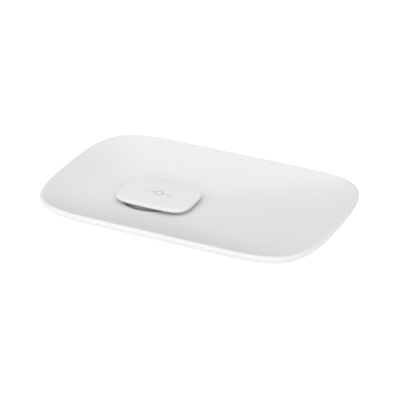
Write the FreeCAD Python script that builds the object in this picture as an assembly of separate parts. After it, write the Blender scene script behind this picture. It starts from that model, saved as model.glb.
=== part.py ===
import FreeCAD, Part
import math
import os

# Wireless charging tray. Millimetres. +X runs along the tray, +Y to its back, +Z up,
# and the origin is on the surface that the feet stand on, under the middle of the tray.

vec = FreeCAD.Vector
up = vec(0, 0, 1)
back = vec(0, 1, 0)
over = 1.0                      # how far a cutting tool runs past what it cuts

# Tray outline and height
tray_length = 260.0
tray_width = 167.8
overall_height = 30.0
tray_corner = (7.6, 3.1)        # exponents of the outline: how square its ends and its sides are
outline_steps = 64
band_height = 8.4               # outer band, from the rim down to its lower edge
band_tuck = 4.5                 # how far that lower edge is drawn in
wall = 2.2

# Dish
dish_depth = 17.6
dish_centre = -58.0             # x of the lowest point
dish_power = 1.89
lip_width = 2.0

# Well in the dish, with the coil cup standing in it
well_x = -46.5
well_radius = 25.8
well_depth = 3.0
well_floor = overall_height - dish_depth - well_depth
well_bottom = 2.0               # thickness of its floor
cup_radius = 22.6
cup_wall = 1.0
cup_lift = 1.0                  # gap between the cup and the well's floor
cup_low = well_floor + cup_lift

# Charging deck
deck_x = -39.2
deck_half_length = 35.0
deck_half_width = 23.86
deck_corner = (4.9, 3.6)
deck_top = overall_height - 9.7
deck_thickness = 3.0
deck_crown = 0.45
deck_under = deck_top - deck_thickness
deck_recess = 1.4               # depth of the round recess that takes the cup's rim
deck_seat = deck_under + deck_recess

# Coil stack, from the deck downwards
tape_thickness = 0.2
coil_outer = 19.8
coil_inner = 10.0
coil_turns = 8
coil_thickness = 1.2
turn_dip = 0.22                 # how far the coil's faces dip between two turns
ferrite_radius = 20.1
ferrite_thickness = 0.8
backing_thickness = 0.5
stack_hole = 3.0
coil_top = deck_seat - tape_thickness
coil_low = coil_top - coil_thickness
ferrite_low = coil_low - ferrite_thickness
backing_low = ferrite_low - backing_thickness
lead_tube_radius = 5.5
lead_tube_bore = 4.2
lead_tube_length = 2.6          # below the well's floor
gasket_radius = 9.0
foam_reach = 12.5               # from the coil's axis

# Base
foot_height = 1.0
base_half_length = 85.0
base_half_width = 39.0
floor_thickness = 2.0
floor_top = foot_height + floor_thickness
band_low = overall_height - band_height
shell_gap = 0.25
tongue_height = 2.4             # the pan's upper edge stands this far inside the band
tongue_width = 2.0
pan_inset = band_tuck + wall + shell_gap
pan_slope_rise = 1.4            # lifts the top of the inner slope, for an even wall

# Feet and screws
foot_x = 70.0
foot_y = 28.0
foot_radius = 6.5
foot_recess = 0.8
case_boss_radius = 3.4
case_boss_low = 6.6
case_seat = case_boss_low - 2.0
case_screw = (2.3, 1.6, 1.0, 7.0)       # head radius, head height, shank radius, length
head_screw = (1.8, 1.2, 0.8, 5.6)
board_screw = (1.9, 1.2, 0.8, 4.2)
pilot_gap = 0.05                # beside a shank in its own boss
clear_gap = 0.35                # beside a shank that only passes through
head_screw_reach = 16.5
head_boss_radius = 2.8
head_boss_height = 3.4

# Circuit board
board_x = 25.0
board_y = 9.0
board_length = 62.0
board_width = 56.0
board_thickness = 1.6
board_low = floor_top + 2.0
board_top = board_low + board_thickness
board_hole_inset = 3.2
board_corner = 2.0
board_left = board_x - board_length / 2
board_back = board_y + board_width / 2
post_radius = 2.6
socket_x = board_left + 3.2
socket_y = -10.0

# Cable bay and USB-C inlet
bay_width = 16.0
bay_length = 30.0
bay_roof = 12.4
bay_wall = 2.0
bay_face = board_back + 3.0     # the wall that the inlet looks out of
usb_width = 8.94
usb_height = 3.26
usb_depth = 7.35
usb_skin = 0.3
usb_gap = 0.3
usb_face = bay_face - 0.6
usb_middle = board_top + usb_height / 2
usb_back = usb_face - usb_depth + 2 * usb_skin
tongue_blade = (6.7, 5.4, 0.7)
contact_size = (0.25, 3.4, 0.05)
contact_pitch = 0.5

# Status light
led_x = 42.0
led_size = (1.6, 0.9, 0.7)
pipe_radius = 1.2
pipe_gap = 0.1
pipe_z = board_top + 1.4

# Leads
lead_radius = 0.55
lead_spacing = 1.8
sense_radius = 0.3
sense_spacing = 0.9


def superellipse_point(half_length, half_width, corner, turn):
    """A point on the outline in the direction turn, found by halving."""
    cos_part = abs(math.cos(turn))
    sin_part = abs(math.sin(turn))
    low = 0.0
    high = 2.0
    for _ in range(50):
        middle = (low + high) / 2
        if (middle * cos_part) ** corner[0] + (middle * sin_part) ** corner[1] < 1:
            low = middle
        else:
            high = middle
    return half_length * low * math.cos(turn), half_width * low * math.sin(turn)


def outline_wire(half_length, half_width, corner, z, centre_x=0.0, grow=1.0):
    """The outline at height z, with grow scaling it about the point (centre_x, 0)."""
    points = []
    for step in range(outline_steps):
        turn = 2 * math.pi * step / outline_steps
        x, y = superellipse_point(half_length, half_width, corner, turn)
        points.append(vec(centre_x + grow * (x - centre_x), grow * y, z))
    curve = Part.BSplineCurve()
    curve.interpolate(Points=points, PeriodicFlag=True)
    return Part.Wire(curve.toShape())


def tray_wire(inset, z, grow=1.0):
    half_length = tray_length / 2 - inset
    half_width = tray_width / 2 - inset
    return outline_wire(half_length, half_width, tray_corner, z, dish_centre, grow)


def base_wire(inset, z):
    return outline_wire(base_half_length - inset, base_half_width - inset, tray_corner, z)


def slab(wire, height):
    return Part.Face(wire).extrude(vec(0, 0, height))


def cylinder(radius, low, high, x, y=0.0):
    return Part.makeCylinder(radius, high - low, vec(x, y, low))


def tube(outer, inner, low, high, x, y=0.0):
    return cylinder(outer, low, high, x, y).cut(cylinder(inner, low, high, x, y))


def box(length, width, low, high, x, y):
    """A block centred on (x, y)."""
    return Part.makeBox(length, width, high - low, vec(x - length / 2, y - width / 2, low))


def soft_box(length, width, low, high, x, y, radius):
    """A block with its four upright edges rounded."""
    block = box(length, width, low, high, x, y)
    upright = [edge for edge in block.Edges if abs(edge.tangentAt(edge.FirstParameter).z) > 0.9]
    return block.makeFillet(radius, upright)


def dish_height(share):
    """Height of the dish where share runs from 0 at its lowest point to 1 at the lip."""
    return overall_height - dish_depth * (1 - share ** dish_power)


def dish_form(inset, drop, top):
    """What fills the dish up to the height top, with its surface lowered by drop."""
    shares = (0.06, 0.2, 0.35, 0.5, 0.65, 0.8, 0.9, 1.0)
    rings = [tray_wire(inset, dish_height(share) - drop, share) for share in shares]
    bowl = Part.makeLoft(rings, True, False)
    return bowl.fuse(slab(rings[-1], top - overall_height + drop))


def case_screw_places():
    return [(side * foot_x, end * foot_y) for side in (-1, 1) for end in (-1, 1)]


def board_screw_places():
    reach_x = board_length / 2 - board_hole_inset
    reach_y = board_width / 2 - board_hole_inset
    return [(board_x + side * reach_x, board_y + end * reach_y) for side in (-1, 1) for end in (-1, 1)]


def head_screw_places():
    turns = [math.radians(degrees) for degrees in (60, 180, 300)]
    return [(well_x + head_screw_reach * math.cos(turn), head_screw_reach * math.sin(turn)) for turn in turns]


def screw(size, x, y, seat, direction):
    """A cross-headed screw. Its head rests on the plane z = seat, and its shank runs up (1) or down (-1)."""
    head_radius, head_height, shank_radius, length = size
    tip_length = shank_radius
    shank_way = vec(0, 0, direction)
    head = Part.makeCylinder(head_radius, head_height, vec(x, y, seat), vec(0, 0, -direction))
    shank = Part.makeCylinder(shank_radius, length - tip_length, vec(x, y, seat), shank_way)
    tip_start = vec(x, y, seat + direction * (length - tip_length))
    tip = Part.makeCone(shank_radius, shank_radius / 3, tip_length, tip_start, shank_way)
    body = head.fuse([shank, tip]).removeSplitter()
    slot_depth = head_height * 0.6
    head_end = seat - direction * head_height
    arm = head_radius * 1.1
    for length_x, length_y in ((arm, arm / 4), (arm / 4, arm)):
        body = body.cut(box(length_x, length_y, head_end - slot_depth, head_end + slot_depth, x, y))
    return body


def bent_tube(points, radii, tube_radius):
    """A round tube along straight runs joined by tangent arcs, one radius for each inner point."""
    edges = []
    start = points[0]
    for index, radius in enumerate(radii, 1):
        corner = points[index]
        before = (points[index - 1] - corner).normalize()
        after = (points[index + 1] - corner).normalize()
        half_angle = before.getAngle(after) / 2
        reach = radius / math.tan(half_angle)
        arc_start = corner + before * reach
        arc_end = corner + after * reach
        bisector = (before + after).normalize()
        arc_middle = corner + bisector * (radius / math.sin(half_angle) - radius)
        edges.append(Part.LineSegment(start, arc_start).toShape())
        edges.append(Part.Arc(arc_start, arc_middle, arc_end).toShape())
        start = arc_end
    edges.append(Part.LineSegment(start, points[-1]).toShape())
    section = Part.Wire(Part.makeCircle(tube_radius, points[0], points[1] - points[0]))
    return Part.Wire(edges).makePipeShell([section], True, False)


# The two shells

def tray_shell():
    # depth below the rim and inset of the band, from its lower edge up over the rounded rim
    band_levels = ((band_height, band_tuck), (6.8, 2.84), (5.2, 1.48), (3.6, 0.49), (2.0, 0.0),
                   (1.08, 0.24), (0.6, 0.65), (0.28, 1.2), (0.0, 1.8))
    rings = [tray_wire(inset, overall_height - depth) for depth, inset in band_levels]
    band = Part.makeLoft(rings, True, False)
    inside = slab(tray_wire(band_tuck + wall, band_low - over), band_height + 2 * over)
    skin_inset = (band_tuck + wall) / 4
    shell = band.cut(inside).fuse(dish_form(skin_inset, wall, overall_height))
    well_side = cylinder(well_radius + wall, well_floor - well_bottom, well_floor + 2 * well_depth, well_x)
    shell = shell.fuse(well_side)
    for x, y in case_screw_places():
        shell = shell.fuse(cylinder(case_boss_radius, case_boss_low, overall_height, x, y))
    shell = shell.cut(dish_form(lip_width, 0, overall_height + 2 * over))
    shell = shell.cut(cylinder(well_radius, well_floor, overall_height, well_x))
    shell = shell.cut(cylinder(lead_tube_radius + shell_gap, 0, well_floor + over, well_x))
    for x, y in head_screw_places():
        shell = shell.cut(cylinder(head_screw[2] + clear_gap, 0, well_floor + over, x, y))
    pilot_top = case_seat + case_screw[3] + 0.5
    for x, y in case_screw_places():
        shell = shell.cut(cylinder(case_screw[2] + pilot_gap, 0, pilot_top, x, y))
    return shell


def pan_outside():
    low = base_wire(0, foot_height)
    high = tray_wire(pan_inset, band_low)
    return Part.makeLoft([low, high], True, True).fuse(slab(high, tongue_height))


def pan_inside():
    low = base_wire(base_half_width * 0.02, floor_top)
    high = tray_wire(pan_inset + tongue_width, band_low + pan_slope_rise)
    return Part.makeLoft([low, high], True, True).fuse(slab(high, tongue_height))


def base_pan():
    """Lower shell: flat floor, sloping sides, open bay for the cable, posts for the board and screw wells."""
    outside = pan_outside()
    pan = outside.cut(pan_inside())
    bay_outer = box(bay_width + 2 * bay_wall, bay_length + bay_wall, foot_height, bay_roof + bay_wall,
                    board_x, bay_face + (bay_length - bay_wall) / 2)
    pan = pan.fuse(bay_outer.common(outside))
    for x, y in case_screw_places():
        pan = pan.fuse(cylinder(case_boss_radius + 0.8, foot_height + foot_recess, case_boss_low, x, y))
    for x, y in board_screw_places():
        pan = pan.fuse(cylinder(post_radius, floor_top - floor_thickness / 2, board_low, x, y))
    pan = pan.cut(box(bay_width, bay_length, 0, bay_roof, board_x, bay_face + bay_length / 2))
    usb_room = box(usb_width + 2 * usb_gap, 3 * bay_wall, board_top - usb_gap,
                   board_top + usb_height + usb_gap, board_x, bay_face - bay_wall / 2)
    pan = pan.cut(usb_room)
    pan = pan.cut(Part.makeCylinder(pipe_radius + pipe_gap, bay_length, pipe_start(), back))
    for x, y in case_screw_places():
        pan = pan.cut(cylinder(foot_radius + 0.1, 0, foot_height + foot_recess, x, y))
        pan = pan.cut(cylinder(case_screw[0] + clear_gap, 0, case_seat, x, y))
        pan = pan.cut(cylinder(case_screw[2] + clear_gap, 0, case_boss_low + over, x, y))
    for x, y in board_screw_places():
        pilot_low = floor_top - floor_thickness / 2
        pan = pan.cut(cylinder(board_screw[2] + pilot_gap, pilot_low, board_low + over, x, y))
    return pan


# Charging head

def deck_cap():
    """Crowned lozenge plate, with a round recess under it for the cup's rim and the coil."""
    # height and inset from the underside up over the rounded edge
    edge_levels = ((deck_under, 0.5), (deck_under + 0.15, 0.14), (deck_under + 0.5, 0.0),
                   (deck_top - 1.3, 0.0), (deck_top - 0.9, 0.06), (deck_top - 0.5, 0.28),
                   (deck_top - 0.15, 0.7), (deck_top, 1.3))
    top_inset = edge_levels[-1][1]

    def ring(inset, z, share=1.0):
        return outline_wire(deck_half_length - inset, deck_half_width - inset, deck_corner, z, 0, share)

    body = Part.makeLoft([ring(inset, z) for z, inset in edge_levels], True, False)
    crown_shares = (1.0, 0.8, 0.5, 0.15)
    crown_rings = [ring(top_inset, deck_top + deck_crown * (1 - share ** 2), share) for share in crown_shares]
    cap = body.fuse(Part.makeLoft(crown_rings, True, False))
    cap.translate(vec(deck_x, 0, 0))
    return cap.cut(cylinder(cup_radius + pilot_gap, deck_under - over, deck_seat, well_x))


def head_cup():
    cup = cylinder(cup_radius, cup_low, deck_seat, well_x)
    low_edges = [edge for edge in cup.Edges if abs(edge.BoundBox.ZMax - cup_low) < 0.01]
    cup = cup.makeFillet(cup_wall / 2, low_edges)
    cup = cup.cut(cylinder(cup_radius - cup_wall, cup_low + cup_wall, deck_seat + over, well_x))
    for x, y in head_screw_places():
        cup = cup.fuse(cylinder(head_boss_radius, well_floor, cup_low + head_boss_height, x, y))
    cup = cup.fuse(cylinder(lead_tube_radius, well_floor - lead_tube_length, cup_low + cup_wall / 2, well_x))
    cup = cup.cut(cylinder(lead_tube_bore, 0, cup_low + 2 * cup_wall, well_x))
    pilot_top = cup_low + head_boss_height - 0.4
    for x, y in head_screw_places():
        cup = cup.cut(cylinder(head_screw[2] + pilot_gap, 0, pilot_top, x, y))
    return cup


def head_gasket():
    return tube(gasket_radius, lead_tube_radius + 0.1, well_floor, cup_low, well_x)


def head_screws():
    seat = well_floor - well_bottom
    return Part.makeCompound([screw(head_screw, x, y, seat, 1) for x, y in head_screw_places()])


def coil_tape():
    return tube(coil_outer - 0.5, coil_inner + 0.5, coil_top, deck_seat, well_x)


def coil_winding():
    """A flat coil: each turn's crown is an arc on both faces."""
    pitch = (coil_outer - coil_inner) / coil_turns
    places = [well_x + coil_inner + turn * pitch for turn in range(coil_turns + 1)]
    high_dips = [vec(x, 0, coil_top - turn_dip) for x in places]
    low_dips = [vec(x, 0, coil_low + turn_dip) for x in places]
    edges = [Part.LineSegment(low_dips[0], high_dips[0]), Part.LineSegment(high_dips[-1], low_dips[-1])]
    for dips, crown in ((high_dips, coil_top), (low_dips, coil_low)):
        for first, second in zip(dips, dips[1:]):
            edges.append(Part.Arc(first, vec((first.x + second.x) / 2, 0, crown), second))
    loop = Part.Wire(Part.__sortEdges__([edge.toShape() for edge in edges]))
    return Part.Face(loop).revolve(vec(well_x, 0, 0), up, 360)


def ferrite_disc():
    return tube(ferrite_radius, stack_hole, ferrite_low, coil_low, well_x)


def backing_plate():
    return tube(ferrite_radius, stack_hole, backing_low, ferrite_low, well_x)


def foam_pads():
    pads = []
    for turn in (math.radians(120), math.radians(240)):
        x = well_x + foam_reach * math.cos(turn)
        y = foam_reach * math.sin(turn)
        pads.append(soft_box(9, 7, cup_low + cup_wall, backing_low, x, y, 1.0))
    return Part.makeCompound(pads)


def coil_leads():
    """Two leads: over the edge of the ferrite, along the cup, down its tube and up on to the board."""
    outside = well_x + ferrite_radius + 0.2 + lead_radius
    tube_x = well_x + 1.6
    coil_z = (coil_top + coil_low) / 2
    cup_z = cup_low + cup_wall + lead_radius + 0.25
    under_z = well_floor - 3.6
    pad_z = board_top + 0.9
    leads = []
    for y in (-lead_spacing / 2, lead_spacing / 2):
        points = [vec(outside, y, coil_z), vec(outside, y, cup_z), vec(tube_x, y, cup_z),
                  vec(tube_x, y, under_z), vec(well_x + 32, y, under_z), vec(board_left - 2, y, pad_z),
                  vec(board_left + 4, y, pad_z)]
        leads.append(bent_tube(points, (1.0, 1.4, 1.6, 6.0, 3.0), lead_radius))
    return Part.makeCompound(leads)


def thermistor():
    """A bead with its potted tail, in the middle of the coil."""
    radius = 0.95
    middle = deck_seat - radius - 0.2
    bead = Part.makeSphere(radius, vec(well_x, 0, middle))
    return bead.fuse(cylinder(0.75, middle - 1.45, middle, well_x))


def thermistor_leads():
    """Two thin wires from the bead, down the lead tube and along to the plug on the board."""
    bead_low = deck_seat - 2.6
    tube_x = well_x - 0.6
    under_z = well_floor - 3.4
    plug_z = board_top + 1.2
    wires = []
    for side in (-1, 1):
        first_x = well_x - 0.3 * side
        y = -3.0 + side * sense_spacing / 2
        plug_y = socket_y + side * sense_spacing / 2
        points = [vec(first_x, 0, bead_low), vec(first_x, 0, bead_low - 1.6),
                  vec(tube_x, y, well_floor + 1.5), vec(tube_x, y, under_z), vec(well_x + 30, y, under_z),
                  vec(socket_x - 7, plug_y, plug_z), vec(socket_x - 2.7, plug_y, plug_z)]
        wires.append(bent_tube(points, (0.7, 1.0, 1.2, 6.0, 3.0), sense_radius))
    return Part.makeCompound(wires)


# Board and what is on it

def main_board():
    board = soft_box(board_length, board_width, board_low, board_top, board_x, board_y, board_corner)
    for x, y in board_screw_places():
        board = board.cut(cylinder(board_screw[2] + clear_gap, 0, board_top + over, x, y))
    return board


def board_socket():
    """Open towards the well, where the plug goes in."""
    block = box(4.4, 4.2, board_top, board_top + 2.6, socket_x, socket_y)
    return block.cut(box(4.0, 3.2, board_top + 0.5, board_top + 2.0, socket_x - 1.0, socket_y))


def lead_plug():
    return box(3.6, 3.0, board_top + 0.6, board_top + 1.9, socket_x - 0.9, socket_y)


def chip(length, width, height, x, y):
    """A component on the board with a small chamfer round its top."""
    block = box(length, width, board_top, board_top + height, x, y)
    top_edges = [edge for edge in block.Edges if edge.BoundBox.ZMin > board_top + height - 0.01]
    return block.makeChamfer(min(length, width, height) * 0.08, top_edges)


def charge_controller():
    body = chip(6.0, 6.0, 0.9, board_x - 8, board_y - 2)
    first_pin_mark = cylinder(0.35, board_top + 0.8, board_top + over, board_x - 10.2, board_y + 0.2)
    return body.cut(first_pin_mark)


def switch_transistors():
    places = [(board_left + 14, board_y - 14 + 5.5 * row) for row in range(4)]
    return Part.makeCompound([chip(3.3, 3.3, 0.9, x, y) for x, y in places])


def resonance_capacitors():
    places = [(board_left + 8.6, board_y - 13 + 4.4 * row) for row in range(4)]
    return Part.makeCompound([chip(3.2, 2.6, 2.2, x, y) for x, y in places])


def power_inductor():
    x = board_x + 13
    y = board_y + 10
    high = board_top + 3.2
    body = soft_box(7.0, 7.0, board_top, high, x, y, 1.4)
    return body.cut(cylinder(2.6, high - 0.2, high + over, x, y))


def filter_capacitors():
    places = [(board_x - 4 + 3.2 * column, board_y + 17) for column in range(4)]
    places += [(board_x + 6 + 3.2 * column, board_y - 14) for column in range(5)]
    return Part.makeCompound([chip(1.3, 2.1, 1.25, x, y) for x, y in places])


def clock_crystal():
    return chip(3.2, 2.5, 0.8, board_x - 8, board_y + 7)


def chip_resistors():
    places = []
    for column in range(5):
        for y in (board_y - 3, board_y):
            places.append((board_x - 1 + 2.0 * column, y))
    places.append((led_x, board_back - 7.0))
    return Part.makeCompound([chip(0.6, 1.1, 0.4, x, y) for x, y in places])


def coil_pads():
    """Solder joints under the ends of the two leads."""
    joints = []
    for y in (-lead_spacing / 2, lead_spacing / 2):
        joints.append(soft_box(3.0, 1.6, board_top, board_top + 0.34, board_left + 3.0, y, 0.5))
    return Part.makeCompound(joints)


def round_ended(width, height, depth, y):
    """A block that runs forwards from y, with round ends, like the mouth of the inlet."""
    radius = height / 2
    reach = width / 2 - radius
    block = Part.makeBox(2 * reach, depth, height, vec(board_x - reach, y - depth, usb_middle - radius))
    ends = [Part.makeCylinder(radius, depth, vec(board_x + side * reach, y - depth, usb_middle), back)
            for side in (-1, 1)]
    return block.fuse(ends).removeSplitter()


def usb_shell():
    outer = round_ended(usb_width, usb_height, usb_depth, usb_face)
    inner = round_ended(usb_width - 2 * usb_skin, usb_height - 2 * usb_skin, usb_depth, usb_face + usb_skin)
    return outer.cut(inner)


def usb_tongue():
    blade_width, blade_length, blade_height = tongue_blade
    fit = 2 * usb_skin + 0.1
    root_depth = 1.6
    root = round_ended(usb_width - fit, usb_height - fit, root_depth, usb_back + root_depth)
    corner = vec(board_x - blade_width / 2, usb_back, usb_middle - blade_height / 2)
    return root.fuse(Part.makeBox(blade_width, blade_length, blade_height, corner)).removeSplitter()


def usb_contacts():
    """Twelve strips on each face of the tongue."""
    width, length, height = contact_size
    half_blade = tongue_blade[2] / 2
    strips = []
    for column in range(12):
        x = board_x + contact_pitch * (column - 5.5) - width / 2
        for low in (usb_middle + half_blade, usb_middle - half_blade - height):
            strips.append(Part.makeBox(width, length, height, vec(x, usb_back + 1.7, low)))
    return Part.makeCompound(strips)


def status_led():
    length, width, height = led_size
    return chip(length, width, height, led_x, board_back - 1.2)


def pipe_start():
    return vec(led_x, board_back - 0.4, pipe_z)


def light_pipe():
    """A clear rod from the status light to the outside of the pan, with a hood over the light."""
    rod = Part.makeCylinder(pipe_radius, bay_length, pipe_start(), back).common(pan_outside())
    hood_low = board_top + led_size[2] + 0.05
    hood = box(2 * pipe_radius, 2.6, hood_low, pipe_z + pipe_radius, led_x, board_back - 1.3)
    return rod.fuse(hood).removeSplitter()


def board_screws():
    return Part.makeCompound([screw(board_screw, x, y, board_top, -1) for x, y in board_screw_places()])


def case_screws():
    return Part.makeCompound([screw(case_screw, x, y, case_seat, 1) for x, y in case_screw_places()])


def rubber_feet():
    feet = []
    for x, y in case_screw_places():
        foot = cylinder(foot_radius, 0, foot_height + foot_recess, x, y)
        low_edges = [edge for edge in foot.Edges if edge.BoundBox.ZMax < 0.01]
        feet.append(foot.makeFillet(foot_height / 2, low_edges))
    return Part.makeCompound(feet)


subparts = (tray_shell, base_pan, deck_cap, head_cup, head_gasket, head_screws, coil_tape, coil_winding,
            ferrite_disc, backing_plate, foam_pads, coil_leads, thermistor, thermistor_leads, lead_plug,
            board_socket, main_board, charge_controller, switch_transistors, resonance_capacitors,
            power_inductor, filter_capacitors, clock_crystal, chip_resistors, coil_pads, usb_shell,
            usb_tongue, usb_contacts, status_led, light_pipe, board_screws, case_screws, rubber_feet)

os.makedirs("parts", exist_ok=True)
for make in subparts:
    shape = make()
    print(make.__name__, len(shape.Solids), "solids, valid", shape.isValid())
    shape.exportStep("parts/" + make.__name__ + ".step")
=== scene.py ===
import math
import bmesh
import bpy
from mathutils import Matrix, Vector


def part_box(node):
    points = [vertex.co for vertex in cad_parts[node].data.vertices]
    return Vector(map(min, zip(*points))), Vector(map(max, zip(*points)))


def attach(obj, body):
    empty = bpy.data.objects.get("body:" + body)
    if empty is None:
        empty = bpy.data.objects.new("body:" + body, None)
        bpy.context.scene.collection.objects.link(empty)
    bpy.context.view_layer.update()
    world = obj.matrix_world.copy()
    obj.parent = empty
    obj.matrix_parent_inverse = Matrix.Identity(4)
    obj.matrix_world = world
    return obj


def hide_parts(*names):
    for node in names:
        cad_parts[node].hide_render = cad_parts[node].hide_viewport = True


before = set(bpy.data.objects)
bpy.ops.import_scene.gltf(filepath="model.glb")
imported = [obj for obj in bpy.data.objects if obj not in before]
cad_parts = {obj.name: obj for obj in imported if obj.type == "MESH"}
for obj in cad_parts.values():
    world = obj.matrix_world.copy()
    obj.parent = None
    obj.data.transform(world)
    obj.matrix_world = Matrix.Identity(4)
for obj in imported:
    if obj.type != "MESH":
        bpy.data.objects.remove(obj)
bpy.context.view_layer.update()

mm = 0.001
print("frame loaded,", len(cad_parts), "nodes")


# places taken from the frame

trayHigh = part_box("tray_shell")[1]
deckLow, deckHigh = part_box("deck_cap")
cupLow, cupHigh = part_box("head_cup")
halfLength = trayHigh.x
halfWidth = trayHigh.y
rimTop = trayHigh.z
wellX = (cupLow.x + cupHigh.x) / 2


# outlines, each point found by halving

halvings = 40


def outlinePoint(halfX, halfY, corner, turn):
    # a superellipse with its own exponent for each direction
    cosPart = abs(math.cos(turn))
    sinPart = abs(math.sin(turn))
    low, high = 0.0, 2.0
    for _ in range(halvings):
        middle = (low + high) / 2
        if (middle * cosPart) ** corner[0] + (middle * sinPart) ** corner[1] < 1:
            low = middle
        else:
            high = middle
    return Vector((halfX * low * math.cos(turn), halfY * low * math.sin(turn)))


# ring modelling: a loop of edges grows by extrusion, and each new point is placed by its own turn

def firstRing(bm, segments, place):
    turnLayer = bm.verts.layers.float.get("turn") or bm.verts.layers.float.new("turn")
    ring = set(bmesh.ops.create_circle(bm, segments=segments, radius=1.0)["verts"])
    for vert in ring:
        vert[turnLayer] = math.atan2(vert.co.y, vert.co.x)
        vert.co = place(vert[turnLayer])
    return [edge for edge in bm.edges if edge.verts[0] in ring]


def growRing(bm, loop, place):
    grown = bmesh.ops.extrude_edge_only(bm, edges=loop)["geom"]
    turnLayer = bm.verts.layers.float["turn"]
    newVerts = {item for item in grown if isinstance(item, bmesh.types.BMVert)}
    for vert in newVerts:
        vert.co = place(vert[turnLayer])
    return [item for item in grown if isinstance(item, bmesh.types.BMEdge)
            and item.verts[0] in newVerts and item.verts[1] in newVerts]


def quarterArc(steps, first=0):
    # angles from 0 up to a right angle
    return [math.pi / 2 * step / steps for step in range(first, steps + 1)]


def roundAbout(x, radius, around, z):
    # a point on a level circle whose middle lies at x on the long axis
    return Vector((x + radius * math.cos(around), radius * math.sin(around), z))


def finishPiece(bm, name, sharpAngle=40):
    bmesh.ops.recalc_face_normals(bm, faces=bm.faces)
    mesh = bpy.data.meshes.new(name)
    for face in bm.faces:
        face.smooth = True
    bm.to_mesh(mesh)
    bm.free()
    mesh.set_sharp_from_angle(angle=math.radians(sharpAngle))
    piece = bpy.data.objects.new(name, mesh)
    bpy.context.scene.collection.objects.link(piece)
    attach(piece, "root")
    return piece


# the dished top

top = {
    "corner": (7.6, 3.1),
    "segments": 288,
    "lip": 2.0 * mm,            # from the widest line in to the edge of the dish
    "lipSoftness": 0.45 * mm,
    "dishDepth": 17.6 * mm,
    "dishCentre": -58.0 * mm,
    "dishPower": 1.89,
    "dishRings": 30,
    "ringCrowding": 0.12,       # draws the rings together near the well and the lip
    "lipSteps": 8,
    "rimTilt": 20.0,            # the rim falls away outwards at once, by this many degrees
    "rimRound": 1.8 * mm,
    "rimSteps": 8,
    "bandHeight": 8.4 * mm,
    "bandTuck": 4.5 * mm,
    "bandPower": 1.6,
    "bandSteps": 9,
    "edgeRound": 0.5 * mm,
    "lowRings": ((0.0, 0.15), (0.25, 0.0), (0.6, 0.0)),     # the band's last rings: in, and up, in mm
    "edgeSoftness": 0.2 * mm,
    "wall": 2.2 * mm,
    "underRings": 14,
    "wellRadius": 25.1 * mm,
    "wellDepth": 3.0 * mm,
    "wellBottom": 2.0 * mm,
    "mouthRound": 0.7 * mm,
    "floorRound": 1.5 * mm,
    "wellSteps": 5,
    "flatShare": 0.45,          # how far across the well's floor its middle ring lies
    "flatBorder": 0.5 * mm,     # a narrow last ring keeps the floor's shading flat
    "baseRing": 9.0 * mm,
    "tubeHole": 5.75 * mm,
    "screwHead": 2.3 * mm,      # radius, from the screws' box in to their middles
    "screwReach": 5.0 * mm,     # how far a screw stands up into its boss
    "bossRadius": 3.4 * mm,
    "bossSegments": 32,
    "pilotRadius": 1.05 * mm,
}
wellFloor = rimTop - top["dishDepth"] - top["wellDepth"]
lowEdge = rimTop - top["bandHeight"]


def rimPoint(inset, turn):
    return outlinePoint(halfLength - inset, halfWidth - inset, top["corner"], turn)


def dishHeightAt(x, y):
    # share of the way from the lowest point to the lip, straight through (x, y)
    outX = x - top["dishCentre"]
    halfX = halfLength - top["lip"]
    halfY = halfWidth - top["lip"]
    low, high = 0.0, 400.0      # how many times further out the lip is
    for _ in range(halvings):
        middle = (low + high) / 2
        reachX = abs(top["dishCentre"] + outX * middle) / halfX
        if reachX < 1 and reachX ** top["corner"][0] + (abs(y) * middle / halfY) ** top["corner"][1] < 1:
            low = middle
        else:
            high = middle
    share = min(1.0, 1 / low)
    return rimTop - top["dishDepth"] * (1 - share ** top["dishPower"])


def wellTurn(turn):
    toLip = rimPoint(top["lip"], turn) - Vector((wellX, 0))
    return math.atan2(toLip.y, toLip.x)


def roundWell(radius, z):
    return lambda turn: roundAbout(wellX, radius, wellTurn(turn), z)


def wellMouth(arc):
    # the rounded edge between the well's side and the dish
    radius = top["wellRadius"] + top["mouthRound"] * (1 - math.cos(arc))

    def place(turn):
        spot = roundAbout(wellX, radius, wellTurn(turn), 0)
        spot.z = dishHeightAt(spot.x, spot.y) - top["mouthRound"] * (1 - math.sin(arc))
        return spot
    return place


def dishRing(share, drop, innerRadius, outerInset):
    # from the well outwards to the lip; drop lowers it for the underside
    def place(turn):
        inner = roundAbout(wellX, innerRadius, wellTurn(turn), 0).to_2d()
        spot = inner.lerp(rimPoint(outerInset, turn), share)
        return Vector((spot.x, spot.y, dishHeightAt(spot.x, spot.y) - drop))
    return place


def softLip(step):
    # over the edge of the dish: step runs from 1 on its inner side to -1 on the rim
    soft = top["lipSoftness"]
    rimFall = 2 * soft * math.tan(math.radians(top["rimTilt"]))

    def place(turn):
        inside = rimPoint(top["lip"] + soft, turn)
        dishFall = rimTop - dishHeightAt(inside.x, inside.y)
        spot = rimPoint(top["lip"] + step * soft, turn)
        inner = (step + 1) / 2
        return Vector((spot.x, spot.y, rimTop - dishFall * inner ** 2 - rimFall / 2 * (1 - inner) ** 2))
    return place


def bandRing(inset, z):
    return lambda turn: Vector((*rimPoint(inset, turn), z))


def growWell(bm, loop):
    floorRound = top["floorRound"]
    flatEnd = top["wellRadius"] - floorRound
    flatMiddle = top["tubeHole"] + top["flatShare"] * (flatEnd - top["tubeHole"])
    for radius in (flatMiddle, flatEnd - top["flatBorder"], flatEnd):
        loop = growRing(bm, loop, roundWell(radius, wellFloor))
    for arc in quarterArc(top["wellSteps"], 1):
        z = wellFloor + floorRound * (1 - math.cos(arc))
        loop = growRing(bm, loop, roundWell(flatEnd + floorRound * math.sin(arc), z))
    for arc in quarterArc(top["wellSteps"]):
        loop = growRing(bm, loop, wellMouth(arc))
    return loop


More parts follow.
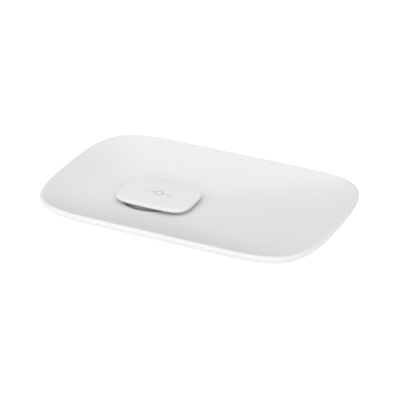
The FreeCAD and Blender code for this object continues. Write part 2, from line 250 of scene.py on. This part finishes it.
def growDish(bm, loop):
    innerRadius = top["wellRadius"] + top["mouthRound"]
    outerInset = top["lip"] + top["lipSoftness"]
    for step in range(1, top["dishRings"]):
        share = step / top["dishRings"]
        share -= top["ringCrowding"] * math.sin(2 * math.pi * share) / math.pi
        loop = growRing(bm, loop, dishRing(share, 0, innerRadius, outerInset))
    for step in range(top["lipSteps"] + 1):
        loop = growRing(bm, loop, softLip(1 - 2 * step / top["lipSteps"]))
    return loop


def growBand(bm, loop):
    # the rim's round runs from its tilt to upright, and the band is drawn in below it
    rimRound = top["rimRound"]
    tilt = math.radians(top["rimTilt"])
    roundInset = rimRound * (1 - math.sin(tilt))
    roundStart = rimTop - (top["lip"] - roundInset) * math.tan(tilt)
    for step in range(top["rimSteps"] + 1):
        arc = tilt + (math.pi / 2 - tilt) * step / top["rimSteps"]
        z = roundStart - rimRound * (math.cos(tilt) - math.cos(arc))
        loop = growRing(bm, loop, bandRing(rimRound * (1 - math.sin(arc)), z))
    widestZ = roundStart - rimRound * math.cos(tilt)
    bandFall = widestZ - lowEdge
    for step in range(1, top["bandSteps"] + 1):
        share = step / top["bandSteps"] * (1 - top["edgeRound"] / bandFall)
        inset = top["bandTuck"] * share ** top["bandPower"]
        loop = growRing(bm, loop, bandRing(inset, widestZ - bandFall * share))
    for inset, lift in top["lowRings"]:
        loop = growRing(bm, loop, bandRing(top["bandTuck"] + inset * mm, lowEdge + lift * mm))
    return loop


def growUnderside(bm, loop):
    innerInset = top["bandTuck"] + top["wall"]
    soft = top["edgeSoftness"]
    loop = growRing(bm, loop, bandRing(innerInset - soft, lowEdge))
    loop = growRing(bm, loop, bandRing(innerInset, lowEdge + soft))
    outerWell = top["wellRadius"] + top["wall"]
    for step in range(top["underRings"] + 1):
        share = 1 - step / top["underRings"]
        loop = growRing(bm, loop, dishRing(share, top["wall"], outerWell, innerInset))
    wellBase = wellFloor - top["wellBottom"]
    for radius, z in ((outerWell, wellBase + 2 * soft), (outerWell - 2 * soft, wellBase),
                      (outerWell - top["baseRing"], wellBase), (top["tubeHole"], wellBase)):
        loop = growRing(bm, loop, roundWell(radius, z))
    return loop


def makeTop():
    bm = bmesh.new()
    start = firstRing(bm, top["segments"], roundWell(top["tubeHole"], wellFloor))
    loop = start
    for grow in (growWell, growDish, growBand, growUnderside):
        loop = grow(bm, loop)
    bmesh.ops.bridge_loops(bm, edges=start + loop)
    for x, y in screwPlaces():
        addBoss(bm, x, y)
    return finishPiece(bm, "dished_top")


def screwPlaces():
    low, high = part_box("case_screws")
    head = top["screwHead"]
    return [(x, y) for x in (low.x + head, high.x - head) for y in (low.y + head, high.y - head)]


def addBoss(bm, x, y):
    # a screw boss under the dish, closed in itself, with its top inside the dish's wall
    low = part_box("case_screws")[1].z - top["screwReach"]
    high = dishHeightAt(x, y) - top["wall"] / 2
    outer, pilot, soft = top["bossRadius"], top["pilotRadius"], top["edgeSoftness"]

    def ring(radius, z):
        return lambda turn: roundAbout(x, radius, turn, z) + Vector((0, y, 0))

    start = firstRing(bm, top["bossSegments"], ring(pilot, low))
    loop = start
    for radius, z in ((outer - soft, low), (outer, low + soft), (outer, high), (pilot, high)):
        loop = growRing(bm, loop, ring(radius, z))
    bmesh.ops.bridge_loops(bm, edges=start + loop)


dishedTop = makeTop()
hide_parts("tray_shell")
print("dished top:", len(dishedTop.data.polygons), "faces")


# the charging deck

deck = {
    "corner": (4.9, 3.6),
    "segments": 192,
    "crown": 0.45 * mm,
    "crownRings": 14,
    "middleShare": 0.04,            # size of the crown's middle face
    "thickness": 3.0 * mm,
    "topRound": 1.3 * mm,
    "topSteps": 7,
    "lowRound": 0.5 * mm,
    "lowSteps": 5,
    "recessRadius": 22.65 * mm,     # the cup's rim stands in it
    "recessDepth": 1.4 * mm,
    "recessMiddle": 8.0 * mm,
}
deckX = (deckLow.x + deckHigh.x) / 2
deckHalfX = (deckHigh.x - deckLow.x) / 2
deckHalfY = (deckHigh.y - deckLow.y) / 2
deckTop = deckHigh.z - deck["crown"]
deckUnder = deckTop - deck["thickness"]


def deckRing(inset, z, share=1.0):
    def place(turn):
        spot = outlinePoint(deckHalfX - inset, deckHalfY - inset, deck["corner"], turn) * share
        return Vector((deckX + spot.x, spot.y, z))
    return place


def recessRing(radius, z):
    def place(turn):
        spot = outlinePoint(deckHalfX, deckHalfY, deck["corner"], turn)
        return roundAbout(wellX, radius, math.atan2(spot.y, spot.x - wellX + deckX), z)
    return place


def crownRing(share):
    return deckRing(deck["topRound"], deckTop + deck["crown"] * (1 - share ** 2), share)


def makeDeck():
    bm = bmesh.new()
    middle = deck["middleShare"]
    loop = firstRing(bm, deck["segments"], crownRing(middle))
    bmesh.ops.contextual_create(bm, geom=loop)
    for step in range(1, deck["crownRings"] + 1):
        loop = growRing(bm, loop, crownRing(middle + (1 - middle) * step / deck["crownRings"]))
    topRound, lowRound = deck["topRound"], deck["lowRound"]
    for arc in quarterArc(deck["topSteps"], 1):
        z = deckTop - topRound * (1 - math.cos(arc))
        loop = growRing(bm, loop, deckRing(topRound * (1 - math.sin(arc)), z))
    for arc in quarterArc(deck["lowSteps"]):
        z = deckUnder + lowRound * (1 - math.sin(arc))
        loop = growRing(bm, loop, deckRing(lowRound * (1 - math.cos(arc)), z))
    recess, recessTop, soft = deck["recessRadius"], deckUnder + deck["recessDepth"], top["edgeSoftness"]
    for radius, z in ((recess + soft, deckUnder), (recess, deckUnder + soft), (recess, recessTop),
                      (deck["recessMiddle"], recessTop)):
        loop = growRing(bm, loop, recessRing(radius, z))
    bmesh.ops.contextual_create(bm, geom=loop)
    return finishPiece(bm, "charging_deck")


chargingDeck = makeDeck()
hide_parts("deck_cap")
print("charging deck:", len(chargingDeck.data.polygons), "faces")


# shader node groups that several finishes share

groupLook = {
    "coarseSize": 7.0,              # the coarse grain is this many times wider than the fine one
    "toneRange": (0.35, 0.65),      # the part of the noise that turns into a change
    "handlingRange": (0.3, 0.7),
    "edgeRange": (0.52, 0.62),      # pointiness of an edge that starts to wear, and of a worn one
    "handlingSize": 0.7,            # sizes of the handling and wear blotches, as shares of the tone's
    "wearSize": 0.25,
}


def newGroup(name, inputs, outputs):
    # an input or output whose kind isn't given is a number
    group = bpy.data.node_groups.new(name, "ShaderNodeTree")
    kinds = {"Vector": "NodeSocketVector", "Light": "NodeSocketColor", "Dark": "NodeSocketColor",
             "Color": "NodeSocketColor"}
    for side, socketNames in (("INPUT", inputs), ("OUTPUT", outputs)):
        for socketName in socketNames:
            kind = kinds.get(socketName, "NodeSocketFloat")
            group.interface.new_socket(name=socketName, in_out=side, socket_type=kind)
    return group, group.nodes.new("NodeGroupInput").outputs, group.nodes.new("NodeGroupOutput").inputs


def addNode(tree, kind, **settings):
    # a setting is either one of the node's own values or the value of an unlinked input
    node = tree.nodes.new(kind)
    for name, value in settings.items():
        if hasattr(node, name):
            setattr(node, name, value)
        else:
            node.inputs[name].default_value = value
    return node


def feed(tree, value, socket):
    # a socket takes a link, a number or a colour
    if isinstance(value, bpy.types.NodeSocket):
        tree.links.new(value, socket)
    elif isinstance(value, tuple) and socket.type == "RGBA":
        socket.default_value = (*value, 1)
    else:
        socket.default_value = value


def mathNode(tree, operation, *values):
    node = addNode(tree, "ShaderNodeMath", operation=operation)
    for index, value in enumerate(values):
        feed(tree, value, node.inputs[index])
    return node.outputs["Value"]


def rangeNode(tree, value, ends, low=0.0, high=1.0, interpolation="SMOOTHSTEP"):
    node = addNode(tree, "ShaderNodeMapRange", interpolation_type=interpolation)
    for name, given in (("Value", value), ("From Min", ends[0]), ("From Max", ends[1]),
                        ("To Min", low), ("To Max", high)):
        feed(tree, given, node.inputs[name])
    return node.outputs["Result"]


def mixColour(tree, mask, first, second):
    mix = addNode(tree, "ShaderNodeMix", data_type="RGBA")
    for name, given in (("Factor", mask), ("A", first), ("B", second)):
        feed(tree, given, mix.inputs[name])
    return mix.outputs["Result"]


def noiseOf(tree, vector, size, detail):
    # size is how far apart the blotches lie, in metres
    noise = addNode(tree, "ShaderNodeTexNoise", Detail=detail)
    feed(tree, vector, noise.inputs["Vector"])
    feed(tree, mathNode(tree, "DIVIDE", 1.0, size), noise.inputs["Scale"])
    return noise.outputs["Fac"]


def makeGrainGroup():
    # the fine skin of a moulded, cast or pressed surface
    group, given, out = newGroup("mouldedGrain", ("Vector", "Size", "Coarse"), ("Height",))
    fine = noiseOf(group, given["Vector"], given["Size"], 2.0)
    wide = mathNode(group, "MULTIPLY", given["Size"], groupLook["coarseSize"])
    broad = noiseOf(group, given["Vector"], wide, 1.0)
    feed(group, mathNode(group, "MULTIPLY_ADD", broad, given["Coarse"], fine), out["Height"])
    return group


def makeToneGroup():
    # slow change between two colours, as in one batch of plastic or plating
    group, given, out = newGroup("slowTone", ("Vector", "Size", "Light", "Dark"), ("Color",))
    cloud = noiseOf(group, given["Vector"], given["Size"], 3.0)
    spread = rangeNode(group, cloud, groupLook["toneRange"])
    feed(group, mixColour(group, spread, given["Light"], given["Dark"]), out["Color"])
    return group


def makeHandlingGroup():
    # roughness wanders between two values where fingers and cloths have been
    group, given, out = newGroup("handling", ("Vector", "Size", "Smooth", "Rough"), ("Roughness",))
    cloud = noiseOf(group, given["Vector"], given["Size"], 4.0)
    spread = rangeNode(group, cloud, groupLook["handlingRange"], given["Smooth"], given["Rough"], "LINEAR")
    feed(group, spread, out["Roughness"])
    return group


def makeBrushedGroup():
    # fine lines along x: noise that is stretched by Length over Width
    group, given, out = newGroup("brushedLines", ("Vector", "Length", "Width"), ("Height",))
    along = mathNode(group, "DIVIDE", 1.0, given["Length"])
    across = mathNode(group, "DIVIDE", 1.0, given["Width"])
    stretch = addNode(group, "ShaderNodeCombineXYZ")
    for axis, value in zip("XYZ", (along, across, across)):
        feed(group, value, stretch.inputs[axis])
    scaled = addNode(group, "ShaderNodeVectorMath", operation="MULTIPLY")
    feed(group, given["Vector"], scaled.inputs[0])
    feed(group, stretch.outputs["Vector"], scaled.inputs[1])
    feed(group, noiseOf(group, scaled.outputs["Vector"], 1.0, 2.0), out["Height"])
    return group


def makeWearGroup():
    # edges that are rubbed: up to 1 on sharp convex edges, 0 on flats
    group, given, out = newGroup("edgeWear", ("Vector", "Size", "Amount"), ("Mask",))
    shape = addNode(group, "ShaderNodeNewGeometry")
    edges = rangeNode(group, shape.outputs["Pointiness"], groupLook["edgeRange"])
    broken = noiseOf(group, given["Vector"], given["Size"], 3.0)
    mask = mathNode(group, "MULTIPLY", edges, broken)
    feed(group, mathNode(group, "MULTIPLY", mask, given["Amount"]), out["Mask"])
    return group


grainGroup = makeGrainGroup()
toneGroup = makeToneGroup()
handlingGroup = makeHandlingGroup()
brushedGroup = makeBrushedGroup()
wearGroup = makeWearGroup()
print("shader groups ready")


# materials

def placeGroup(tree, group, vector, **values):
    node = tree.nodes.new("ShaderNodeGroup")
    node.node_tree = group
    feed(tree, vector, node.inputs["Vector"])
    for name, value in values.items():
        feed(tree, value, node.inputs[name])
    return node.outputs[0]


def newMaterial(name):
    material = bpy.data.materials.new(name)
    material.use_nodes = True
    tree = material.node_tree
    shader = next(node for node in tree.nodes if node.type == "BSDF_PRINCIPLED")
    return material, tree, shader


def objectVector(tree):
    return addNode(tree, "ShaderNodeTexCoord").outputs["Object"]


def axesOf(tree, vector):
    parts = addNode(tree, "ShaderNodeSeparateXYZ")
    feed(tree, vector, parts.inputs["Vector"])
    return (parts.outputs[axis] for axis in "XYZ")


def reachOf(tree, x, y):
    # distance from the z axis
    return mathNode(tree, "SQRT", mathNode(tree, "ADD", mathNode(tree, "MULTIPLY", x, x),
                                           mathNode(tree, "MULTIPLY", y, y)))


def bumpFrom(tree, shader, height, depth):
    bump = addNode(tree, "ShaderNodeBump", Strength=1.0, Distance=depth)
    feed(tree, height, bump.inputs["Height"])
    feed(tree, bump.outputs["Normal"], shader.inputs["Normal"])


def toneAndHandling(tree, shader, vector, look):
    # roughness goes straight to the shader, and the colour comes back for what lies over it
    size = look["toneSize"]
    smooth, rough = look["roughness"]
    handled = placeGroup(tree, handlingGroup, vector, Size=size * look.get("handlingSize", 1.0),
                         Smooth=smooth, Rough=rough)
    feed(tree, handled, shader.inputs["Roughness"])
    return placeGroup(tree, toneGroup, vector, Size=size, Light=look["light"], Dark=look["dark"])


def makeFinish(name, look):
    # a look without a grainDepth gets its bump later
    material, tree, shader = newMaterial(name)
    vector = objectVector(tree)
    colour = toneAndHandling(tree, shader, vector, {"handlingSize": groupLook["handlingSize"], **look})
    if "worn" in look:
        wearSize = look["toneSize"] * groupLook["wearSize"]
        worn = placeGroup(tree, wearGroup, vector, Size=wearSize, Amount=look["wear"])
        colour = mixColour(tree, worn, colour, look["worn"])
    feed(tree, colour, shader.inputs["Base Color"])
    if "grainDepth" in look:
        if "brushed" in look:
            length, width = look["brushed"]
            skin = placeGroup(tree, brushedGroup, vector, Length=length, Width=width)
        else:
            coarse = look.get("coarse", 0.0)
            skin = placeGroup(tree, grainGroup, vector, Size=look["grainSize"], Coarse=coarse)
        bumpFrom(tree, shader, skin, look["grainDepth"])
    for socketName, value in look.get("shader", {}).items():
        shader.inputs[socketName].default_value = value
    return material, tree, shader, colour


plastics = {
    "shellWhite": {"light": (0.815, 0.815, 0.812), "dark": (0.800, 0.800, 0.798), "toneSize": 60 * mm,
                   "roughness": (0.42, 0.50), "grainSize": 0.35 * mm, "grainDepth": 0.003 * mm},
    # painted shade: the cup is made dark grey so that the well under the deck looks shaded; this grey
    # stands in for shade, not for the cup's own colour
    "cupPaintedShadeGrey": {"light": (0.315, 0.315, 0.318), "dark": (0.285, 0.285, 0.288), "toneSize": 20 * mm,
                "roughness": (0.55, 0.68), "grainSize": 0.5 * mm, "grainDepth": 0.010 * mm},
    "panWhite": {"light": (0.79, 0.79, 0.785), "dark": (0.765, 0.765, 0.76), "toneSize": 40 * mm,
                 "roughness": (0.50, 0.62), "grainSize": 0.5 * mm, "grainDepth": 0.012 * mm, "coarse": 0.4},
    "sealGrey": {"light": (0.30, 0.31, 0.32), "dark": (0.25, 0.26, 0.27), "toneSize": 6 * mm,
                 "roughness": (0.60, 0.72), "grainSize": 0.3 * mm, "grainDepth": 0.010 * mm},
    "footGrey": {"light": (0.37, 0.375, 0.38), "dark": (0.31, 0.315, 0.32), "toneSize": 8 * mm,
                 "roughness": (0.62, 0.80), "grainSize": 0.25 * mm, "grainDepth": 0.020 * mm, "coarse": 0.5,
                 "worn": (0.46, 0.46, 0.46), "wear": 0.5},
    "tapeAmber": {"light": (0.62, 0.55, 0.42), "dark": (0.55, 0.48, 0.36), "toneSize": 9 * mm,
                  "roughness": (0.30, 0.42), "grainSize": 0.8 * mm, "grainDepth": 0.006 * mm},
    "foamDark": {"light": (0.045, 0.045, 0.048), "dark": (0.025, 0.025, 0.027), "toneSize": 3 * mm,
                 "roughness": (0.85, 0.95), "grainSize": 0.35 * mm, "grainDepth": 0.09 * mm, "coarse": 0.6},
    "leadRed": {"light": (0.42, 0.030, 0.020), "dark": (0.34, 0.022, 0.015), "toneSize": 5 * mm,
                "roughness": (0.38, 0.50), "grainSize": 0.3 * mm, "grainDepth": 0.006 * mm},
    "senseBlack": {"light": (0.020, 0.020, 0.022), "dark": (0.012, 0.012, 0.013), "toneSize": 5 * mm,
                   "roughness": (0.35, 0.48), "grainSize": 0.2 * mm, "grainDepth": 0.005 * mm},
    "beadEpoxy": {"light": (0.030, 0.026, 0.022), "dark": (0.018, 0.016, 0.014), "toneSize": 1.5 * mm,
                  "roughness": (0.22, 0.36), "grainSize": 0.3 * mm, "grainDepth": 0.010 * mm},
    "socketCream": {"light": (0.72, 0.68, 0.55), "dark": (0.67, 0.62, 0.49), "toneSize": 4 * mm,
                    "roughness": (0.42, 0.55), "grainSize": 0.25 * mm, "grainDepth": 0.008 * mm},
    "chipBlack": {"light": (0.016, 0.016, 0.017), "dark": (0.010, 0.010, 0.011), "toneSize": 2 * mm,
                  "roughness": (0.48, 0.62), "grainSize": 0.12 * mm, "grainDepth": 0.010 * mm,
                  "worn": (0.05, 0.05, 0.05), "wear": 0.6},
    "capacitorTan": {"light": (0.27, 0.18, 0.11), "dark": (0.22, 0.14, 0.085), "toneSize": 1.2 * mm,
                     "roughness": (0.30, 0.44), "grainSize": 0.15 * mm, "grainDepth": 0.005 * mm},
    "ledResin": {"light": (0.84, 0.82, 0.62), "dark": (0.80, 0.76, 0.50), "toneSize": 1 * mm,
                 "roughness": (0.15, 0.25), "grainSize": 0.2 * mm, "grainDepth": 0.003 * mm},
    "lightPipe": {"light": (0.93, 0.95, 0.95), "dark": (0.90, 0.93, 0.93), "toneSize": 4 * mm,
                  "roughness": (0.10, 0.24), "grainSize": 0.8 * mm, "grainDepth": 0.001 * mm,
                  "shader": {"Transmission Weight": 0.75, "IOR": 1.49}},
}
metals = {
    "ferriteDark": {"light": (0.030, 0.030, 0.033), "dark": (0.018, 0.018, 0.020), "toneSize": 5 * mm,
                    "roughness": (0.52, 0.68), "grainSize": 0.25 * mm, "grainDepth": 0.020 * mm,
                    "coarse": 0.5, "shader": {"Metallic": 0.15}},
    "inductorGrey": {"light": (0.060, 0.060, 0.064), "dark": (0.040, 0.040, 0.043), "toneSize": 2 * mm,
                     "roughness": (0.55, 0.72), "grainSize": 0.15 * mm, "grainDepth": 0.020 * mm,
                     "coarse": 0.4, "worn": (0.14, 0.14, 0.14), "wear": 0.7, "shader": {"Metallic": 0.3}},
    "zincSteel": {"light": (0.62, 0.63, 0.65), "dark": (0.52, 0.53, 0.55), "toneSize": 1.5 * mm,
                  "roughness": (0.24, 0.36), "brushed": (1.2 * mm, 0.06 * mm), "grainDepth": 0.001 * mm,
                  "worn": (0.75, 0.75, 0.75), "wear": 0.8, "shader": {"Metallic": 1.0}},
    "backingAluminium": {"light": (0.78, 0.79, 0.80), "dark": (0.70, 0.71, 0.72), "toneSize": 10 * mm,
                         "roughness": (0.26, 0.38), "brushed": (9 * mm, 0.10 * mm),
                         "grainDepth": 0.0015 * mm, "shader": {"Metallic": 1.0}},
    "crystalLid": {"light": (0.72, 0.71, 0.69), "dark": (0.64, 0.63, 0.61), "toneSize": 1.5 * mm,
                   "roughness": (0.20, 0.30), "brushed": (1.5 * mm, 0.06 * mm), "grainDepth": 0.0008 * mm,
                   "shader": {"Metallic": 1.0}},
    "solderBright": {"light": (0.74, 0.74, 0.73), "dark": (0.62, 0.62, 0.61), "toneSize": 0.8 * mm,
                     "roughness": (0.14, 0.30), "grainSize": 0.5 * mm, "grainDepth": 0.020 * mm,
                     "shader": {"Metallic": 1.0}},
    "inletSteel": {"light": (0.68, 0.67, 0.65), "dark": (0.58, 0.57, 0.55), "toneSize": 3 * mm,
                   "roughness": (0.20, 0.32), "brushed": (3 * mm, 0.08 * mm), "grainDepth": 0.0008 * mm,
                   "worn": (0.80, 0.80, 0.79), "wear": 0.8, "shader": {"Metallic": 1.0}},
    "contactGold": {"light": (0.86, 0.62, 0.24), "dark": (0.78, 0.54, 0.19), "toneSize": 0.6 * mm,
                    "roughness": (0.16, 0.26), "grainSize": 0.1 * mm, "grainDepth": 0.002 * mm,
                    "shader": {"Metallic": 1.0}},
}
finishes = {name: makeFinish(name, look)[0] for name, look in {**plastics, **metals}.items()}


# the deck: the same plastic a shade lighter, with a small printed sign of a line through a ring

deckLook = dict(plastics["shellWhite"], light=(0.845, 0.845, 0.842), dark=(0.832, 0.832, 0.830))
deckSign = {
    "ink": (0.235, 0.240, 0.225),
    "halfLength": 13.0 * mm,
    "lineWidth": 0.45 * mm,
    "ring": 3.4 * mm,
    "ringWidth": 0.55 * mm,
    "softness": 0.10 * mm,
    "printDepth": 0.2 * mm,     # no print on what is lower than this under the deck's top
}


def nearMask(tree, distance, halfWidth):
    # 1 where distance is under halfWidth, with a soft edge
    soft = deckSign["softness"]
    return rangeNode(tree, distance, (halfWidth - soft, halfWidth + soft), 1.0, 0.0)


def makeDeckFinish():
    material, tree, shader, colour = makeFinish("deckWhite", deckLook)
    centred = addNode(tree, "ShaderNodeVectorMath", operation="SUBTRACT")
    feed(tree, objectVector(tree), centred.inputs[0])
    feed(tree, (deckX, 0, deckTop), centred.inputs[1])
    x, y, z = axesOf(tree, centred.outputs["Vector"])
    reach = reachOf(tree, x, y)
    fromRing = mathNode(tree, "ABSOLUTE", mathNode(tree, "SUBTRACT", reach, deckSign["ring"]))
    ring = nearMask(tree, fromRing, deckSign["ringWidth"] / 2)
    line = nearMask(tree, mathNode(tree, "ABSOLUTE", y), deckSign["lineWidth"] / 2)
    line = mathNode(tree, "MULTIPLY", line, nearMask(tree, reach, deckSign["halfLength"]))
    line = mathNode(tree, "MULTIPLY", line, mathNode(tree, "GREATER_THAN", reach, deckSign["ring"]))
    onTop = mathNode(tree, "GREATER_THAN", z, -deckSign["printDepth"])
    sign = mathNode(tree, "MULTIPLY", mathNode(tree, "MAXIMUM", ring, line), onTop)
    feed(tree, mixColour(tree, sign, colour, deckSign["ink"]), shader.inputs["Base Color"])
    return material


# the coil: enamelled strands that run round the coil's axis

coilLook = {
    "light": (0.62, 0.27, 0.12),
    "dark": (0.50, 0.20, 0.085),
    "toneSize": 6 * mm,
    "roughness": (0.24, 0.38),
    "strand": 0.16 * mm,
    "strandLength": 3 * mm,
    "unrolled": 2 * mm,         # length that stands for one radian round the coil
    "depth": 0.03 * mm,
}


def makeCoilFinish():
    material, tree, shader = newMaterial("coilCopper")
    vector = objectVector(tree)
    x, y, z = axesOf(tree, vector)
    x = mathNode(tree, "SUBTRACT", x, wellX)
    around = mathNode(tree, "MULTIPLY", mathNode(tree, "ARCTAN2", y, x), coilLook["unrolled"])
    unrolled = addNode(tree, "ShaderNodeCombineXYZ")
    for axis, value in zip("XYZ", (around, reachOf(tree, x, y), z)):
        feed(tree, value, unrolled.inputs[axis])
    strands = placeGroup(tree, brushedGroup, unrolled.outputs["Vector"],
                         Length=coilLook["strandLength"], Width=coilLook["strand"])
    tone = toneAndHandling(tree, shader, vector, coilLook)
    feed(tree, mixColour(tree, strands, coilLook["dark"], tone), shader.inputs["Base Color"])
    bumpFrom(tree, shader, strands, coilLook["depth"])
    shader.inputs["Metallic"].default_value = 1.0
    return material


# the board: green solder mask, with traces that show through it as a lighter green

boardLook = {
    "light": (0.018, 0.105, 0.040),
    "dark": (0.013, 0.085, 0.032),
    "toneSize": 15 * mm,
    "roughness": (0.22, 0.32),
    "trace": (0.030, 0.165, 0.062),
    "patch": 7 * mm,            # a patch has traces one way, the other way, or none
    "pitch": 1.1 * mm,
    "waveLength": 0.314,        # of a wave texture whose scale is 1
    "traceEdge": 0.72,
    "bareShare": 0.35,
    "depth": 0.02 * mm,
}


def makeBoardFinish():
    material, tree, shader, colour = makeFinish("boardGreen", boardLook)
    vector = objectVector(tree)
    patches = addNode(tree, "ShaderNodeTexVoronoi", distance="CHEBYCHEV", Scale=1 / boardLook["patch"])
    feed(tree, vector, patches.inputs["Vector"])
    choice = addNode(tree, "ShaderNodeSeparateColor")
    feed(tree, patches.outputs["Color"], choice.inputs["Color"])
    lengthways = mathNode(tree, "GREATER_THAN", choice.outputs["Red"], 0.5)
    covered = mathNode(tree, "GREATER_THAN", choice.outputs["Green"], boardLook["bareShare"])
    traces = 0.0
    for direction, chosen in (("X", lengthways), ("Y", mathNode(tree, "SUBTRACT", 1.0, lengthways))):
        wave = addNode(tree, "ShaderNodeTexWave", bands_direction=direction,
                       Scale=boardLook["waveLength"] / boardLook["pitch"])
        feed(tree, vector, wave.inputs["Vector"])
        band = mathNode(tree, "GREATER_THAN", wave.outputs["Fac"], boardLook["traceEdge"])
        traces = mathNode(tree, "MULTIPLY_ADD", band, chosen, traces)
    traces = mathNode(tree, "MULTIPLY", traces, covered)
    feed(tree, mixColour(tree, traces, colour, boardLook["trace"]), shader.inputs["Base Color"])
    bumpFrom(tree, shader, traces, boardLook["depth"])
    return material


finishes["deckWhite"] = makeDeckFinish()
finishes["coilCopper"] = makeCoilFinish()
finishes["boardGreen"] = makeBoardFinish()

nodeFinish = {
    "shellWhite": ("tray_shell",),
    "deckWhite": ("deck_cap",),
    "panWhite": ("base_pan",),
    # painted shade: the head cup gets the dark grey that stands in for the shade in the well
    "cupPaintedShadeGrey": ("head_cup",),
    "sealGrey": ("head_gasket",),
    "footGrey": ("rubber_feet",),
    "tapeAmber": ("coil_tape",),
    "coilCopper": ("coil_winding",),
    "ferriteDark": ("ferrite_disc",),
    "backingAluminium": ("backing_plate",),
    "foamDark": ("foam_pads",),
    "leadRed": ("coil_leads",),
    "beadEpoxy": ("thermistor",),
    "senseBlack": ("thermistor_leads",),
    "socketCream": ("lead_plug", "board_socket"),
    "boardGreen": ("main_board",),
    "chipBlack": ("charge_controller", "switch_transistors", "chip_resistors", "usb_tongue"),
    "capacitorTan": ("resonance_capacitors", "filter_capacitors"),
    "inductorGrey": ("power_inductor",),
    "crystalLid": ("clock_crystal",),
    "solderBright": ("coil_pads",),
    "inletSteel": ("usb_shell",),
    "contactGold": ("usb_contacts",),
    "ledResin": ("status_led",),
    "lightPipe": ("light_pipe",),
    "zincSteel": ("head_screws", "board_screws", "case_screws"),
}
dishedTop.data.materials.append(finishes["shellWhite"])
chargingDeck.data.materials.append(finishes["deckWhite"])
for finish, nodeNames in nodeFinish.items():
    for nodeName in nodeNames:
        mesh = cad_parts[nodeName].data
        mesh.materials.clear()
        mesh.materials.append(finishes[finish])
print("finishes:", len(finishes))


# floor, light and camera

studio = {
    "floorReach": 6.0,
    "floorColour": (0.06, 0.06, 0.06),
    "floorGlow": 0.985,             # the floor shines by itself, so nothing casts a shadow on it
    # broad soft lights: where each comes from, and its strength
    "lights": (((0, 0, 1), 0.99), ((0, -1, 0), 1.15), ((1, 0, 0), 0.28), ((-1, 0, 0), 0.10)),
    "azimuth": 25.755,
    "elevation": 27.392,
    "distance": 1.6218,
    "sensor": 36.0,
    "lens": 171.69,
    "target": (6.67 * mm, -12.96 * mm),     # on the rim's level
}


def makeFloor():
    bm = bmesh.new()
    bmesh.ops.create_grid(bm, x_segments=1, y_segments=1, size=studio["floorReach"])
    mesh = bpy.data.meshes.new("floor")
    bm.to_mesh(mesh)
    bm.free()
    floor = bpy.data.objects.new("floor", mesh)
    bpy.context.scene.collection.objects.link(floor)
    material, tree, shader = newMaterial("floorWhite")
    for name, value in (("Base Color", studio["floorColour"]), ("Roughness", 1.0),
                        ("Specular IOR Level", 0.0), ("Emission Color", (1, 1, 1)),
                        ("Emission Strength", studio["floorGlow"])):
        feed(tree, value, shader.inputs[name])
    mesh.materials.append(material)


def makeWorld():
    # each light fades from its own direction to nothing at right angles to it
    world = bpy.data.worlds.new("studioWorld")
    world.use_nodes = True
    tree = world.node_tree
    background = next(node for node in tree.nodes if node.type == "BACKGROUND")
    background.inputs["Color"].default_value = (1, 1, 1, 1)
    direction = addNode(tree, "ShaderNodeTexCoord").outputs["Generated"]
    total = 0.0
    for axis, strength in studio["lights"]:
        facing = addNode(tree, "ShaderNodeVectorMath", operation="DOT_PRODUCT")
        feed(tree, direction, facing.inputs[0])
        feed(tree, axis, facing.inputs[1])
        lit = mathNode(tree, "MAXIMUM", facing.outputs["Value"], 0.0)
        total = mathNode(tree, "MULTIPLY_ADD", lit, strength, total)
    feed(tree, total, background.inputs["Strength"])
    bpy.context.scene.world = world


def makeCamera():
    data = bpy.data.cameras.new("camera")
    data.sensor_width = studio["sensor"]
    data.lens = studio["lens"]
    camera = bpy.data.objects.new("camera", data)
    azimuth = math.radians(studio["azimuth"])
    elevation = math.radians(studio["elevation"])
    level = math.cos(elevation)
    away = Vector((math.sin(azimuth) * level, -math.cos(azimuth) * level, math.sin(elevation)))
    camera.location = Vector((*studio["target"], rimTop)) + away * studio["distance"]
    camera.rotation_mode = "QUATERNION"
    camera.rotation_quaternion = (-away).to_track_quat("-Z", "Y")
    bpy.context.scene.collection.objects.link(camera)
    bpy.context.scene.camera = camera


makeFloor()
makeWorld()
makeCamera()
bpy.context.scene.view_settings.view_transform = "Standard"
print("studio ready")
